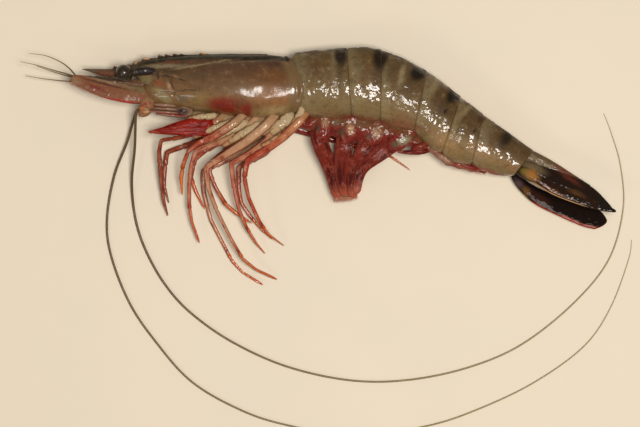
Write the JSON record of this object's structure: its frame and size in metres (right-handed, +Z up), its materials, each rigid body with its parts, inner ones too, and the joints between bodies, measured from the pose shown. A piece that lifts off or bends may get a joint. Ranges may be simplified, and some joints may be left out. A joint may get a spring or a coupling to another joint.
{
  "type": "raw tiger prawn",
  "caption": "Whole raw tiger prawn lying on its right side: toothed head shell, banded curved tail, red legs and swimming legs, dark tail fan and long swept feelers.",
  "frame": {"origin": "on the flat spot the prawn rests on, under the first abdominal segment, in the rest plane", "axes": "+X from head to tail, +Y from legs to back, +Z up out of the prawn's left side"},
  "size_m": [0.2458, 0.1564, 0.0215],
  "materials": {
    "shell_brown": "wet, glossy, mottled brown with a red cheek",
    "shell_grey_tan": "wet, glossy, translucent grey-tan with dark bands",
    "shell_olive": "wet, glossy olive-brown with dark bands",
    "eye": "wet gloss black-brown",
    "head_limb": "wet, translucent orange-brown",
    "feeler": "smooth, semi-gloss",
    "underside": "wet cream-tan",
    "leg": "wet, translucent red to orange",
    "red_blade": "wet dark red, translucent at the edge",
    "telson": "wet, translucent tan-brown",
    "uropod": "wet near-black with a dark red margin",
    "uropod_base": "wet, yellow-orange spot on dark brown"
  },
  "bodies": {
    "root": {"carapace": "shell_brown", "abdomen_segment_1": "shell_grey_tan", "abdomen_segment_2": "shell_grey_tan", "abdomen_segment_3": "shell_grey_tan", "abdomen_segment_4": "shell_olive", "abdomen_segment_5": "shell_olive", "abdomen_segment_6": "shell_olive", "eye_left": "eye", "eye_right": "eye", "antennule_stalk_left": "head_limb", "antennule_feeler_left_1": "feeler", "antennule_feeler_left_2": "feeler", "antennal_scale_left": "head_limb", "antenna_base_left": "head_limb", "mouthparts_left": "head_limb", "antenna_left": "feeler", "antennule_stalk_right": "head_limb", "antennule_feeler_right_1": "feeler", "antennule_feeler_right_2": "feeler", "antennal_scale_right": "head_limb", "antenna_base_right": "head_limb", "mouthparts_right": "head_limb", "antenna_right": "feeler", "thorax_underside": "underside", "maxilliped_left": "leg", "maxilliped_right": "leg", "leg_1_left": "leg", "leg_1_right": "leg", "leg_2_left": "leg", "leg_2_right": "leg", "leg_3_left": "leg", "leg_3_right": "leg", "leg_4_left": "leg", "leg_4_right": "leg", "leg_5_left": "leg", "leg_5_right": "leg", "jaw_foot_blade_left": "red_blade", "jaw_foot_blade_right": "red_blade", "pleopod_1_left": "red_blade", "pleopod_1_right": "red_blade", "pleopod_2_left": "red_blade", "pleopod_2_right": "red_blade", "pleopod_3_left": "red_blade", "pleopod_3_right": "red_blade", "pleopod_4_left": "red_blade", "pleopod_4_right": "red_blade", "pleopod_5_left": "red_blade", "pleopod_5_right": "red_blade", "telson": "telson", "uropod_inner_left": "uropod", "uropod_outer_left": "uropod_base", "uropod_inner_right": "uropod", "uropod_outer_right": "uropod"}
  },
  "joints": []
}
